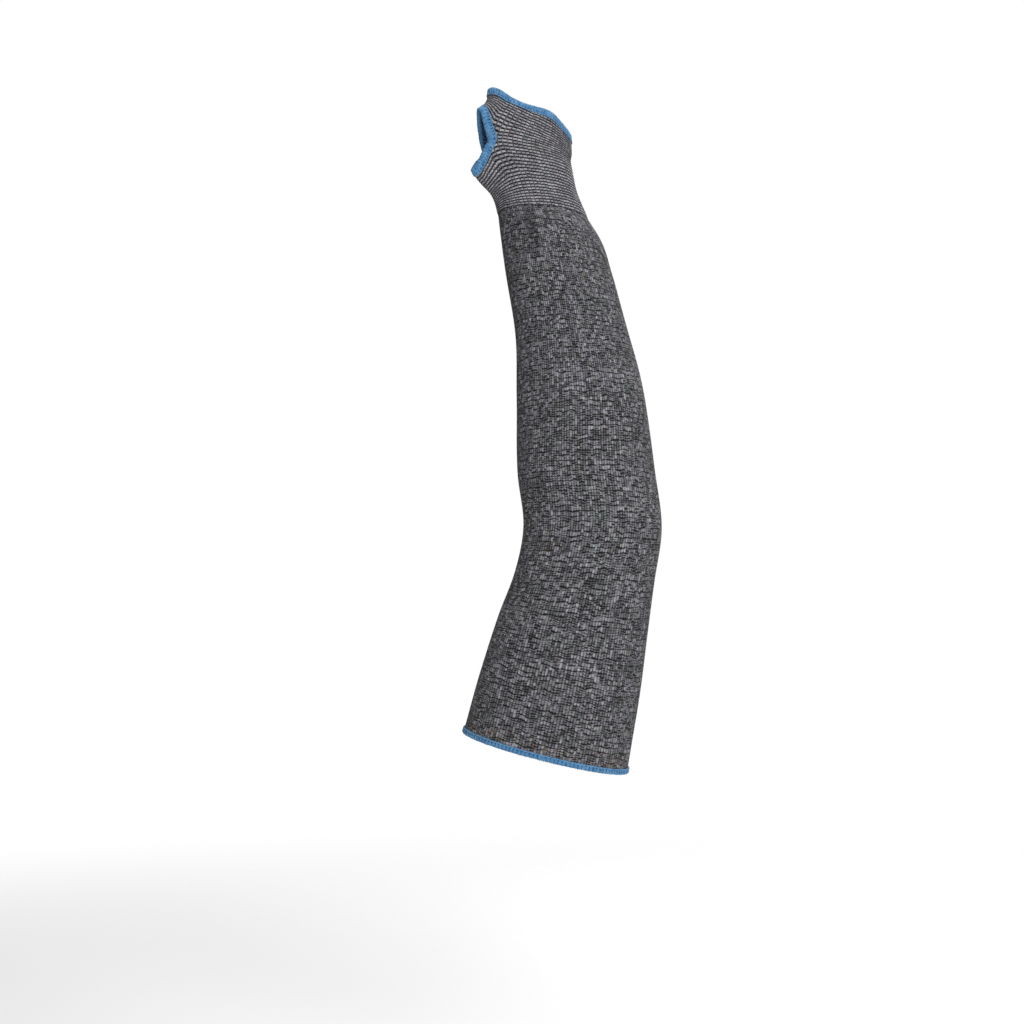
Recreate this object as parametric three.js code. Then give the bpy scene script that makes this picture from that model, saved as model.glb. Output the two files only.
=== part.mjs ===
// A knitted cut resistant sleeve for a right arm, in the bent form that the arm gives it.
// It stands on its wide arm opening with the hand end up. X is right, Y is away from its outer side, Z is up.
// Lengths are in millimetres and angles in degrees. The origin is the middle of the arm opening.
import * as THREE from 'three';

// Driving sizes
const tube_length = 380;
const cuff_length = 77;
const upper_arm_width = 112;
const wrist_width = 64;
const tube_wall = 1.3;
const cuff_wall = 1.6;
const binding_width = 5.2;
const binding_thread = 0.7;
const clearance = 0.3;
const lip_clearance = 0.6;
const web_strip = 15;
const thumb_drop = 15;
const lower_lip_flare = 9;
const upper_lip_flare = 3.5;
const thumb_hole_half_angle = 45;
const thumb_hole_turn_angle = 18;
const gather_depth = 1.1;

// The bent and leaning fabric stands a little lower than its length.
const upright_share = 0.966;

// Mesh counts, and how far the rows crowd: the tube's towards the wrist, the cuff's towards the hole
const columns = 48;
const tube_rows = 20;
const lower_rows = 10;
const upper_rows = 8;
const edge_leg_steps = 2;
const lip_leg_steps = 3;
const tube_crowding_share = 0.35;
const cuff_crowding_power = 1.5;

// The lips of the thumb hole. The powers say how fast each dies out away from the hole.
// blunt_share: how far the profile is round. widening_share: how much wider the pull gets by the cuff's end.
const upper_lip = { rise_power: 1.3, flare_power: 1.5 };
const lower_lip = { drop_power: 1.2, flare_power: 3.0 };
const lip_profile = { blunt_share: 0.25, sharp_power: 1.7, widening_share: 0.8 };
const edge_wave_fall = 3;

// Sections, one row each, from the arm opening to the wrist.
// at: share of the tube's length. aside, back: shift of the middle, as shares of that length.
// girth: 0 at the wrist's width, 1 at the upper arm's. round: depth for each unit of width.
// turn: the section's turn about Z. tilt: how far its right end hangs. lean: how far its near side rises.
const wrist = { aside: -0.003, back: 0.0457, girth: 0, round: 0.72, turn: 17, tilt: 1, lean: 14.5 };
const tube_sections = [
  { at: 0.000, aside: 0.0000, back: 0.0000, girth: 1.000, round: 0.84, turn: 0, tilt: 13.8, lean: -2.0 },
  { at: 0.124, aside: 0.0259, back: -0.0072, girth: 0.920, round: 0.85, turn: 0, tilt: 10.5, lean: -2.5 },
  { at: 0.237, aside: 0.0493, back: -0.0120, girth: 0.790, round: 0.86, turn: 0, tilt: 7.5, lean: -1.5 },
  { at: 0.326, aside: 0.0698, back: -0.0156, girth: 0.650, round: 0.87, turn: 0, tilt: 3.5, lean: 0.0 },
  { at: 0.416, aside: 0.0842, back: -0.0156, girth: 0.640, round: 0.87, turn: 2, tilt: 1.0, lean: 3.0 },
  { at: 0.523, aside: 0.0734, back: -0.0096, girth: 0.620, round: 0.85, turn: 4, tilt: -0.5, lean: 6.0 },
  { at: 0.652, aside: 0.0649, back: 0.0024, girth: 0.515, round: 0.82, turn: 8, tilt: -1.5, lean: 8.0 },
  { at: 0.778, aside: 0.0475, back: 0.0168, girth: 0.305, round: 0.80, turn: 11, tilt: -1.0, lean: 10.0 },
  { at: 0.897, aside: 0.0247, back: 0.0313, girth: 0.220, round: 0.78, turn: 14, tilt: 0.5, lean: 12.0 },
  { at: 0.965, aside: 0.0096, back: 0.0409, girth: 0.130, round: 0.76, turn: 16, tilt: 1.0, lean: 14.0 },
  { at: 1.000, ...wrist },
];

// The cuff's sections, from the wrist to the hand edge. at: share of the cuff's length.
// aside, back: shift from the wrist's middle, as shares of that length.
const thumb_hole_at = 0.56;
const hand_sections = [
  { at: 0.00, ...wrist, aside: 0, back: 0 },
  { at: 0.28, aside: -0.077, back: 0.053, girth: -0.02, round: 0.60, turn: 30, tilt: -4.5, lean: 17.0 },
  { at: 0.56, aside: -0.154, back: 0.101, girth: 0.27, round: 0.46, turn: 43, tilt: -10.0, lean: 18.5 },
  { at: 0.78, aside: -0.125, back: 0.142, girth: 0.20, round: 0.44, turn: 43, tilt: 6.0, lean: 15.0 },
  { at: 1.00, aside: -0.119, back: 0.178, girth: 0.14, round: 0.43, turn: 42, tilt: 18.5, lean: 12.0 },
];

// How the columns of the knit lie round the cuff. square: 2 for an elliptic section, more for a squarer one.
// outer, palm: shares of the half section that the thumb hole's columns take on its outer and its palm side.
const hand_columns = [
  { at: 0.00, square: 2.0, outer: 0.250, palm: 0.250 },
  { at: 0.28, square: 2.1, outer: 0.170, palm: 0.225 },
  { at: 0.56, square: 2.3, outer: 0.035, palm: 0.210 },
  { at: 0.78, square: 2.3, outer: 0.095, palm: 0.200 },
  { at: 1.00, square: 2.2, outer: 0.180, palm: 0.225 },
];

// Waves of the hand edge, and the lift of the thumb hole's two corners. high: share of the cuff's length.
const hand_edge_waves = [
  { around: 50, high: -0.042, spread: 26 },
  { around: 112, high: 0.042, spread: 24 },
];
const corner_lift = { high: 0.045, spread: 24 };

// Gathers where the loose tube is drawn in to the wrist. deep: share of the gather depth.
const gathers = [
  { around: 62, deep: 1.0, spread: 9, fall: 0.10 },
  { around: 84, deep: -0.7, spread: 8, fall: 0.08 },
  { around: 108, deep: 0.6, spread: 9, fall: 0.06 },
  { around: 150, deep: -0.6, spread: 12, fall: 0.07 },
  { around: 205, deep: 0.9, spread: 11, fall: 0.09 },
  { around: 248, deep: -0.6, spread: 10, fall: 0.07 },
  { around: 290, deep: 0.8, spread: 11, fall: 0.08 },
];

const degrees = Math.PI / 180;
const hole_spread = thumb_hole_half_angle * degrees;
const hole_peak = -thumb_hole_turn_angle * degrees;

// Smooth curve through one column of a table of sections
function along(table, column, at) {
  const last = table.length - 1;
  let k = 0;
  while (k < last - 1 && at > table[k + 1].at) {
    k += 1;
  }
  const slope = (i) => (table[i + 1][column] - table[i][column]) / (table[i + 1].at - table[i].at);
  const span = (i) => table[i + 1].at - table[i].at;
  const tangent = (i) => {
    if (i === 0) {
      return slope(0);
    }
    if (i === last) {
      return slope(last - 1);
    }
    return (slope(i - 1) * span(i) + slope(i) * span(i - 1)) / (span(i - 1) + span(i));
  };
  const s = (at - table[k].at) / span(k);
  const ease = s * s * (3 - 2 * s);
  const start = s * (1 - s) * (1 - s) * span(k) * tangent(k);
  const end = s * s * (s - 1) * span(k) * tangent(k + 1);
  return table[k][column] * (1 - ease) + table[k + 1][column] * ease + start + end;
}

// Point of a section. around: place round the section, evenly spaced, 0 on the thumb's side.
function section_point(table, at, around, centre, length, square = 2) {
  const width = wrist_width + (upper_arm_width - wrist_width) * along(table, 'girth', at);
  const round = along(table, 'round', at);
  const turn = along(table, 'turn', at) * degrees;
  const power = 2 / square;
  const angle = around + 0.5 * (1 - round) / (1 + round) * Math.sin(2 * around);
  const rounded = (value) => Math.sign(value) * Math.abs(value) ** power;
  const wide = width / 2 * rounded(Math.cos(angle));
  const deep = width / 2 * round * rounded(Math.sin(angle));
  const right = -wide * Math.cos(turn) + deep * Math.sin(turn);
  const away = -wide * Math.sin(turn) - deep * Math.cos(turn);
  const hang = Math.tan(along(table, 'tilt', at) * degrees) * right;
  const drop = Math.tan(along(table, 'lean', at) * degrees) * away;
  return new THREE.Vector3(
    centre.x + along(table, 'aside', at) * length + right,
    centre.y + along(table, 'back', at) * length + away,
    centre.z + at * length * upright_share - hang - drop,
  );
}

const arm_opening = new THREE.Vector3(0, 0, 0);
const wrist_centre = new THREE.Vector3(
  wrist.aside * tube_length,
  wrist.back * tube_length,
  tube_length * upright_share,
);

// Difference of two angles, between -PI and PI
function turn_between(a, b) {
  return Math.atan2(Math.sin(a - b), Math.cos(a - b));
}

// Point of the tube's outer skin. u: angle round it, 0 on the thumb's side. at: share of its length.
function tube_point(u, at) {
  const point = section_point(tube_sections, at, u, arm_opening, tube_length);
  const middle = section_point(tube_sections, at, u + Math.PI, arm_opening, tube_length);
  const outward = point.clone().sub(middle).setZ(0).normalize();
  let bulge = 0;
  for (const gather of gathers) {
    const off = turn_between(u, gather.around * degrees) / (gather.spread * degrees);
    const rise = Math.sin(Math.PI * Math.min((1 - at) / gather.fall, 1));
    bulge += gather.deep * gather_depth * Math.exp(-off * off) * rise;
  }
  return point.addScaledVector(outward, bulge);
}

// Place round the cuff of a column: those of the thumb hole crowd together where it is cut
function cuff_around(u, at) {
  const outer = along(hand_columns, 'outer', at) * Math.PI;
  const palm = along(hand_columns, 'palm', at) * Math.PI;
  const share = u / hole_spread;
  if (Math.abs(share) < 1) {
    return outer * share + (u < 0 ? (outer - palm) * share * share : 0);
  }
  const edge = u < 0 ? palm : outer;
  return Math.sign(u) * (edge + (Math.abs(u) - hole_spread) * (Math.PI - edge) / (Math.PI - hole_spread));
}

// Share of the lips' opening at a column. off: 0 at the hole, 1 at the end of the cuff.
function lip_share(u, off) {
  const half = u > hole_peak ? hole_spread - hole_peak : hole_spread + hole_peak;
  const x = Math.min(Math.abs(u - hole_peak) / half / (1 + lip_profile.widening_share * off), 1);
  const blunt = lip_profile.blunt_share * (1 - off) ** 2;
  const sharp = Math.max(Math.cos(x * Math.PI / 2), 0) ** lip_profile.sharp_power;
  return blunt * Math.sqrt(1 - x * x) + (1 - blunt) * sharp;
}

function hand_point(at, around) {
  const square = along(hand_columns, 'square', at);
  return section_point(hand_sections, at, around, wrist_centre, cuff_length, square);
}

const upper_lip_rise = hand_point(1, 0).z - hand_point(thumb_hole_at, 0).z - web_strip;

// Point of the closed cuff, before the lips open. at: share of its length. near: 1 at the hole, falling to 0.
function cuff_point(u, at, near) {
  const point = hand_point(at, cuff_around(u, at));
  const turn = along(hand_sections, 'turn', at) * degrees;
  const thumbward = new THREE.Vector3(-Math.cos(turn), -Math.sin(turn), 0);
  const corner = (Math.abs(u) - hole_spread) / (corner_lift.spread * degrees);
  point.z += corner_lift.high * cuff_length * Math.exp(-corner * corner) * near * near;
  return { point, thumbward };
}

// Point of the cuff above the thumb hole. off: 0 at the hole, 1 at the hand edge.
function upper_panel(u, off) {
  const near = 1 - off;
  const { point, thumbward } = cuff_point(u, thumb_hole_at + (1 - thumb_hole_at) * off, near);
  const share = lip_share(u, off);
  point.z += upper_lip_rise * share * near ** upper_lip.rise_power;
  point.addScaledVector(thumbward, upper_lip_flare * share * near ** upper_lip.flare_power);
  for (const wave of hand_edge_waves) {
    const away = turn_between(u, wave.around * degrees) / (wave.spread * degrees);
    point.z += wave.high * cuff_length * Math.exp(-away * away) * off ** edge_wave_fall;
  }
  return point;
}

// Point of the cuff below the thumb hole. off: 0 at the hole, 1 at the wrist.
function lower_panel(u, off) {
  const near = 1 - off;
  const { point, thumbward } = cuff_point(u, thumb_hole_at * near, near);
  const share = lip_share(u, off);
  point.z -= thumb_drop * share * near ** lower_lip.drop_power;
  return point.addScaledVector(thumbward, lower_lip_flare * share * near ** lower_lip.flare_power);
}

// Outward normal of a surface given as point(u, v). up: 1 where v runs up the sleeve, -1 where it runs down.
const small_share = 0.002;
function normal_at(surface, u, v, up) {
  const low = Math.max(v - small_share, 0);
  const across = surface(u + small_share, v).sub(surface(u - small_share, v));
  const along_v = surface(u, low + 2 * small_share).sub(surface(u, low));
  return across.cross(along_v).normalize().multiplyScalar(up);
}

// Direction square to the wrist seam's plane
const seam_slopes = [Math.tan(wrist.tilt * degrees), Math.tan(wrist.lean * degrees)];
const seam_normal = new THREE.Vector3(...seam_slopes, 1).normalize();

// A closed wall: the outer skin's points and faces, and the same skin moved in by the wall.
// The ends of the wall at the seam's points lie flat in the seam's plane.
function make_wall(points, faces, thickness, seam) {
  const normals = points.map(() => new THREE.Vector3());
  const edges = new Map();
  for (const [a, b, c] of faces) {
    const normal = points[b].clone().sub(points[a]).cross(points[c].clone().sub(points[a]));
    for (const i of [a, b, c]) {
      normals[i].add(normal);
    }
    for (const [i, j] of [[a, b], [b, c], [c, a]]) {
      edges.set(`${i} ${j}`, [i, j]);
    }
  }
  for (const i of seam) {
    normals[i].projectOnPlane(seam_normal);
  }
  const inner = points.length;
  const skin = points.map((point, i) => point.clone().addScaledVector(normals[i].normalize(), -thickness));
  const triangles = [...faces];
  for (const [a, b, c] of faces) {
    triangles.push([a + inner, c + inner, b + inner]);
  }
  for (const [i, j] of edges.values()) {
    if (!edges.has(`${j} ${i}`)) {
      triangles.push([j, i, i + inner], [j, i + inner, j + inner]);
    }
  }
  return make_geometry([...points, ...skin], triangles);
}

// A closed ring of sections that each have the same number of points
function make_ring(sections) {
  const count = sections[0].length;
  const triangles = [];
  for (let i = 0; i < sections.length; i += 1) {
    const here = i * count;
    const next = (i + 1) % sections.length * count;
    for (let k = 0; k < count; k += 1) {
      const after = (k + 1) % count;
      triangles.push([here + k, next + k, next + after], [here + k, next + after, here + after]);
    }
  }
  return make_geometry(sections.flat(), triangles);
}

function make_geometry(points, triangles) {
  const geometry = new THREE.BufferGeometry();
  const numbers = points.flatMap((point) => [point.x, point.y, point.z]);
  geometry.setAttribute('position', new THREE.Float32BufferAttribute(numbers, 3));
  geometry.setIndex(triangles.flat());
  geometry.computeVertexNormals();
  return geometry;
}

function make_piece(name, geometry, material) {
  const mesh = new THREE.Mesh(geometry, material);
  mesh.name = name;
  return mesh;
}

// Angle of a mesh column, from -PI to PI
function column_angle(column) {
  return -Math.PI + 2 * Math.PI * column / columns;
}

// Faces between two rows of point numbers, the lower row first
function band_faces(low, high) {
  return low.flatMap((start, column) => {
    const next = (column + 1) % columns;
    return [[start, high[next], high[column]], [start, low[next], high[next]]];
  });
}

function make_tube() {
  const points = [];
  const faces = [];
  const top = 1 - clearance / 2 / (tube_length * upright_share);
  let seam = [];
  for (let step = 0; step <= tube_rows; step += 1) {
    const share = step / tube_rows;
    const at = top * share * (1 + tube_crowding_share - tube_crowding_share * share);
    const row = [];
    for (let column = 0; column < columns; column += 1) {
      row.push(points.push(tube_point(column_angle(column), at)) - 1);
    }
    if (step > 0) {
      faces.push(...band_faces(seam, row));
    }
    seam = row;
  }
  return make_wall(points, faces, tube_wall, seam);
}

// The two panels share their first row of points, except at the thumb hole, where each has its own lip
function make_cuff() {
  const points = [];
  const faces = [];
  const foot = 1 - clearance / 2 / (cuff_length * upright_share * thumb_hole_at);
  const add_row = (surface, off, shared) => {
    const row = [];
    for (let column = 0; column < columns; column += 1) {
      const u = column_angle(column);
      const joined = shared && Math.abs(u) > hole_spread - small_share;
      row.push(joined ? shared[column] : points.push(surface(u, off)) - 1);
    }
    return row;
  };
  const upper_edge = add_row(upper_panel, 0);
  const lower_edge = add_row(lower_panel, 0, upper_edge);
  let last = upper_edge;
  for (let step = 1; step <= upper_rows; step += 1) {
    const row = add_row(upper_panel, (step / upper_rows) ** cuff_crowding_power);
    faces.push(...band_faces(last, row));
    last = row;
  }
  last = lower_edge;
  for (let step = 1; step <= lower_rows; step += 1) {
    const row = add_row(lower_panel, foot * (step / lower_rows) ** cuff_crowding_power);
    faces.push(...band_faces(row, last));
    last = row;
  }
  return make_wall(points, faces, cuff_wall, last);
}

// Section of a binding: a U over the fabric's raw edge, with both legs along the fabric.
// path: points on the outer skin from the edge inward, with their normals. near: gap to the fabric.
function binding_section(path, outward, wall, near) {
  const far = near + binding_thread;
  const lift = (place, height) => place.point.clone().addScaledVector(place.normal, height);
  const rim = (distance, height) => lift(path[0], height).addScaledVector(outward, distance);
  const inward = path.slice(1);
  const backward = inward.toReversed();
  return [
    rim(far, far),
    ...inward.map((place) => lift(place, far)),
    ...backward.map((place) => lift(place, near)),
    rim(near, near),
    rim(near, -wall - near),
    ...inward.map((place) => lift(place, -wall - near)),
    ...backward.map((place) => lift(place, -wall - far)),
    rim(far, -wall - far),
  ];
}

// Path along a surface from its edge at v = 0, in a given direction, over the width of a binding
function leg_path(surface, up, u, direction, steps) {
  const path = [{ point: surface(u, 0), normal: normal_at(surface, u, 0, up) }];
  const substeps = 4;
  const stride = binding_width / steps / substeps;
  let v = 0;
  for (let step = 1; step <= steps * substeps; step += 1) {
    const base = surface(u, v);
    const by_u = surface(u + small_share, v).sub(base).divideScalar(small_share);
    const by_v = surface(u, v + small_share).sub(base).divideScalar(small_share);
    const cross = by_u.dot(by_v);
    const size = by_u.lengthSq() * by_v.lengthSq() - cross * cross;
    const travel_u = (by_u.dot(direction) * by_v.lengthSq() - by_v.dot(direction) * cross) / size;
    const travel_v = (by_v.dot(direction) * by_u.lengthSq() - by_u.dot(direction) * cross) / size;
    const scale = stride / by_u.multiplyScalar(travel_u).addScaledVector(by_v, travel_v).length();
    u += travel_u * scale;
    v = Math.max(v + travel_v * scale, 0);
    if (step % substeps === 0) {
      path.push({ point: surface(u, v), normal: normal_at(surface, u, v, up) });
    }
  }
  return path;
}

// Binding of a round edge. edge: v of the edge. inward: 1 where the fabric lies above it, -1 where below.
function make_edge_binding(surface, edge, inward, wall) {
  const from_edge = (u, v) => surface(u, edge + inward * v);
  const sections = [];
  for (let column = 0; column < columns; column += 1) {
    const u = column_angle(column);
    const into_fabric = from_edge(u, small_share).sub(from_edge(u, 0)).normalize();
    const path = leg_path(from_edge, inward, u, into_fabric, edge_leg_steps);
    sections.push(binding_section(path, into_fabric.negate(), wall, clearance));
  }
  return make_ring(inward > 0 ? sections : sections.toReversed());
}

// Binding of the thumb hole: along the lower lip from the palm to the outer side, and back along the upper
function make_thumb_hole_binding() {
  const half = Math.round(columns * hole_spread / Math.PI);
  const places = [];
  for (let k = -half; k < half; k += 1) {
    places.push({ surface: lower_panel, up: -1, u: hole_spread * k / half });
  }
  for (let k = half; k > -half; k -= 1) {
    places.push({ surface: upper_panel, up: 1, u: hole_spread * k / half });
  }
  const edge = places.map((place) => place.surface(place.u, 0));
  const sections = places.map((place, i) => {
    const before = edge.at(i - 1);
    const after = edge[(i + 1) % edge.length];
    const tangent = after.clone().sub(before);
    const outward = normal_at(place.surface, place.u, 0, place.up).cross(tangent).normalize();
    const inward = outward.clone().negate();
    const path = leg_path(place.surface, place.up, place.u, inward, lip_leg_steps);
    return binding_section(path, outward, cuff_wall, lip_clearance);
  });
  return make_ring(sections.toReversed());
}

const marl_knit = new THREE.MeshStandardMaterial({ color: 0x55565a, roughness: 0.95, metalness: 0 });
const cuff_knit = new THREE.MeshStandardMaterial({ color: 0x77757a, roughness: 0.95, metalness: 0 });
const blue_thread = new THREE.MeshStandardMaterial({ color: 0x4287c8, roughness: 0.85, metalness: 0 });

const group = new THREE.Group();
group.add(make_piece('arm_tube', make_tube(), marl_knit));
group.add(make_piece('hand_cuff', make_cuff(), cuff_knit));
group.add(make_piece('arm_hem_binding', make_edge_binding(tube_point, 0, 1, tube_wall), blue_thread));
group.add(make_piece('hand_edge_binding', make_edge_binding(upper_panel, 1, -1, cuff_wall), blue_thread));
group.add(make_piece('thumb_hole_binding', make_thumb_hole_binding(), blue_thread));

export default group;
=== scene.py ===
# A knitted cut resistant sleeve: a marled jersey tube, a coarser hand cuff with a thumb hole, and blue
# overlocked edges. Lengths are in metres and angles in degrees. X is right, Y is away from the outer side,
# Z is up, and the origin is the middle of the arm opening.
import math

import bpy
import numpy as np
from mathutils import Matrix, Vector


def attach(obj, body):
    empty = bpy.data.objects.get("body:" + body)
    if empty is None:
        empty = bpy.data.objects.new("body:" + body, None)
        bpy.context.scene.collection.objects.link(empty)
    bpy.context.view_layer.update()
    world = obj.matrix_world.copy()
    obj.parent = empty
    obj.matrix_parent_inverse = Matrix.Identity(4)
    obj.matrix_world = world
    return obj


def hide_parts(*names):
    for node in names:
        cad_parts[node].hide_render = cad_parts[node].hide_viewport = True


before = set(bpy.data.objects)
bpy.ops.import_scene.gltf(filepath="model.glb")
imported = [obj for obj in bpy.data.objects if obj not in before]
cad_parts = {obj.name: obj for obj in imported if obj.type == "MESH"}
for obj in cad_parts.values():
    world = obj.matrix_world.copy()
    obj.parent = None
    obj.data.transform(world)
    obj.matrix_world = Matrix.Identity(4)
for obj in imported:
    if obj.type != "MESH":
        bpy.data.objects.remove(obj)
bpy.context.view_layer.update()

# Driving sizes, as in the part's source
tube_length = 0.380
cuff_length = 0.077
upper_arm_width = 0.112
wrist_width = 0.064
tube_wall = 0.0013
cuff_wall = 0.0016
web_strip = 0.015
thumb_drop = 0.015
lower_lip_flare = 0.009
upper_lip_flare = 0.0035
hole_spread = math.radians(45)
hole_peak = math.radians(-18)
gather_depth = 0.0011
upright_share = 0.966

upper_lip = {"rise_power": 1.3, "flare_power": 1.5}
lower_lip = {"drop_power": 1.2, "flare_power": 3.0}
lip_profile = {"blunt_share": 0.25, "sharp_power": 1.7, "widening_share": 0.8}
edge_wave_fall = 3

# The knit. wales and courses: stitches round and along the tube. The cuff's are counted from the wrist up.
tube_wales = 150
tube_courses = 226
cuff_columns = 66
cuff_rows_below = 20
cuff_rows_above = 14
cuff_rows = cuff_rows_below + cuff_rows_above


def rows_of(columns, *rows):
    """A table as a dict of arrays, one for each named column."""
    return dict(zip(columns.split(), np.array(rows, float).T))


section_columns = "at aside back girth round turn tilt lean"
wrist = (0.0457, 0, 0.72, 17, 1, 14.5)
tube_sections = rows_of(
    section_columns,
    (0.000, 0.0000, 0.0000, 1.000, 0.84, 0, 13.8, -2.0),
    (0.124, 0.0259, -0.0072, 0.920, 0.85, 0, 10.5, -2.5),
    (0.237, 0.0493, -0.0120, 0.790, 0.86, 0, 7.5, -1.5),
    (0.326, 0.0698, -0.0156, 0.650, 0.87, 0, 3.5, 0.0),
    (0.416, 0.0842, -0.0156, 0.640, 0.87, 2, 1.0, 3.0),
    (0.523, 0.0734, -0.0096, 0.620, 0.85, 4, -0.5, 6.0),
    (0.652, 0.0649, 0.0024, 0.515, 0.82, 8, -1.5, 8.0),
    (0.778, 0.0475, 0.0168, 0.305, 0.80, 11, -1.0, 10.0),
    (0.897, 0.0247, 0.0313, 0.220, 0.78, 14, 0.5, 12.0),
    (0.965, 0.0096, 0.0409, 0.130, 0.76, 16, 1.0, 14.0),
    (1.000, -0.0030, *wrist),
)
thumb_hole_at = 0.56
hand_sections = rows_of(
    section_columns,
    (0.00, 0.000, 0.000, *wrist[1:]),
    (0.28, -0.077, 0.053, -0.02, 0.60, 30, -4.5, 17.0),
    (0.56, -0.154, 0.101, 0.27, 0.46, 43, -10.0, 18.5),
    (0.78, -0.125, 0.142, 0.20, 0.44, 43, 6.0, 15.0),
    (1.00, -0.119, 0.178, 0.14, 0.43, 42, 18.5, 12.0),
)
hand_columns = rows_of(
    "at square outer palm",
    (0.00, 2.0, 0.250, 0.250),
    (0.28, 2.1, 0.170, 0.225),
    (0.56, 2.3, 0.035, 0.210),
    (0.78, 2.3, 0.095, 0.200),
    (1.00, 2.2, 0.180, 0.225),
)
hand_edge_waves = (
    {"around": 50, "high": -0.042, "spread": 26},
    {"around": 112, "high": 0.042, "spread": 24},
)
corner_lift = {"high": 0.045, "spread": 24}
gathers = (
    {"around": 62, "deep": 1.0, "spread": 9, "fall": 0.10},
    {"around": 84, "deep": -0.7, "spread": 8, "fall": 0.08},
    {"around": 108, "deep": 0.6, "spread": 9, "fall": 0.06},
    {"around": 150, "deep": -0.6, "spread": 12, "fall": 0.07},
    {"around": 205, "deep": 0.9, "spread": 11, "fall": 0.09},
    {"around": 248, "deep": -0.6, "spread": 10, "fall": 0.07},
    {"around": 290, "deep": 0.8, "spread": 11, "fall": 0.08},
)


# The sleeve's form, worked out as in the part's source
def along(table, column, at):
    """Smooth curve through one column of a table of sections."""
    places, values = table["at"], table[column]
    spans = np.diff(places)
    slopes = np.diff(values) / spans
    inner = (slopes[:-1] * spans[1:] + slopes[1:] * spans[:-1]) / (spans[:-1] + spans[1:])
    tangents = np.concatenate([slopes[:1], inner, slopes[-1:]])
    k = np.clip(np.searchsorted(places, at, side="right") - 1, 0, len(spans) - 1)
    s = (at - places[k]) / spans[k]
    ease = s * s * (3 - 2 * s)
    start = s * (1 - s) * (1 - s) * spans[k] * tangents[k]
    end = s * s * (s - 1) * spans[k] * tangents[k + 1]
    return values[k] * (1 - ease) + values[k + 1] * ease + start + end


def tangent_of(angle):
    return np.tan(np.radians(angle))


def section_point(table, at, around, centre, length, square=2.0):
    """Point of a section. around: place round the section, evenly spaced, 0 on the thumb's side."""
    width = wrist_width + (upper_arm_width - wrist_width) * along(table, "girth", at)
    flat = along(table, "round", at)
    turn = np.radians(along(table, "turn", at))
    angle = around + 0.5 * (1 - flat) / (1 + flat) * np.sin(2 * around)
    cosine, sine = np.cos(angle), np.sin(angle)
    wide = width / 2 * np.sign(cosine) * np.abs(cosine) ** (2 / square)
    deep = width / 2 * flat * np.sign(sine) * np.abs(sine) ** (2 / square)
    right = -wide * np.cos(turn) + deep * np.sin(turn)
    away = -wide * np.sin(turn) - deep * np.cos(turn)
    hang = tangent_of(along(table, "tilt", at)) * right + tangent_of(along(table, "lean", at)) * away
    return np.stack([
        centre[0] + along(table, "aside", at) * length + right,
        centre[1] + along(table, "back", at) * length + away,
        centre[2] + at * length * upright_share - hang,
    ], axis=-1)


arm_opening = (0.0, 0.0, 0.0)
wrist_centre = (
    tube_sections["aside"][-1] * tube_length,
    tube_sections["back"][-1] * tube_length,
    tube_length * upright_share,
)


def turn_between(a, b):
    return np.arctan2(np.sin(a - b), np.cos(a - b))


def tube_point(u, at):
    """Point of the tube's outer skin. u: angle round it, 0 on the thumb's side. at: share of its length."""
    point = section_point(tube_sections, at, u, arm_opening, tube_length)
    middle = section_point(tube_sections, at, u + math.pi, arm_opening, tube_length)
    outward = point - middle
    outward[..., 2] = 0
    outward /= np.linalg.norm(outward, axis=-1, keepdims=True)
    bulge = np.zeros(np.broadcast(u, at).shape)
    for gather in gathers:
        off = turn_between(u, math.radians(gather["around"])) / math.radians(gather["spread"])
        rise = np.sin(math.pi * np.minimum((1 - at) / gather["fall"], 1))
        bulge += gather["deep"] * gather_depth * np.exp(-off * off) * rise
    return point + outward * bulge[..., None]


def cuff_around(u, at):
    """Place round the cuff of a column: those of the thumb hole crowd together where it is cut."""
    outer = along(hand_columns, "outer", at) * math.pi
    palm = along(hand_columns, "palm", at) * math.pi
    share = u / hole_spread
    inside = outer * share + np.where(u < 0, (outer - palm) * share * share, 0)
    edge = np.where(u < 0, palm, outer)
    rest = (np.abs(u) - hole_spread) * (math.pi - edge) / (math.pi - hole_spread)
    return np.where(np.abs(share) < 1, inside, np.sign(u) * (edge + rest))


def lip_share(u, off):
    """Share of the lips' opening at a column. off: 0 at the hole, 1 at the end of the cuff."""
    half = np.where(u > hole_peak, hole_spread - hole_peak, hole_spread + hole_peak)
    x = np.minimum(np.abs(u - hole_peak) / half / (1 + lip_profile["widening_share"] * off), 1)
    blunt = lip_profile["blunt_share"] * (1 - off) ** 2
    sharp = np.maximum(np.cos(x * math.pi / 2), 0) ** lip_profile["sharp_power"]
    return blunt * np.sqrt(1 - x * x) + (1 - blunt) * sharp


def hand_point(at, around):
    square = along(hand_columns, "square", at)
    return section_point(hand_sections, at, around, wrist_centre, cuff_length, square)


upper_lip_rise = hand_point(np.array(1.0), 0)[2] - hand_point(np.array(thumb_hole_at), 0)[2] - web_strip


def cuff_point(u, at, near):
    """Point of the closed cuff, before the lips open, and the direction to the thumb's side."""
    point = hand_point(at, cuff_around(u, at))
    turn = np.radians(along(hand_sections, "turn", at))
    thumbward = np.stack([-np.cos(turn), -np.sin(turn), np.zeros_like(turn)], axis=-1)
    corner = (np.abs(u) - hole_spread) / math.radians(corner_lift["spread"])
    point[..., 2] += corner_lift["high"] * cuff_length * np.exp(-corner * corner) * near * near
    return point, thumbward


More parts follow.
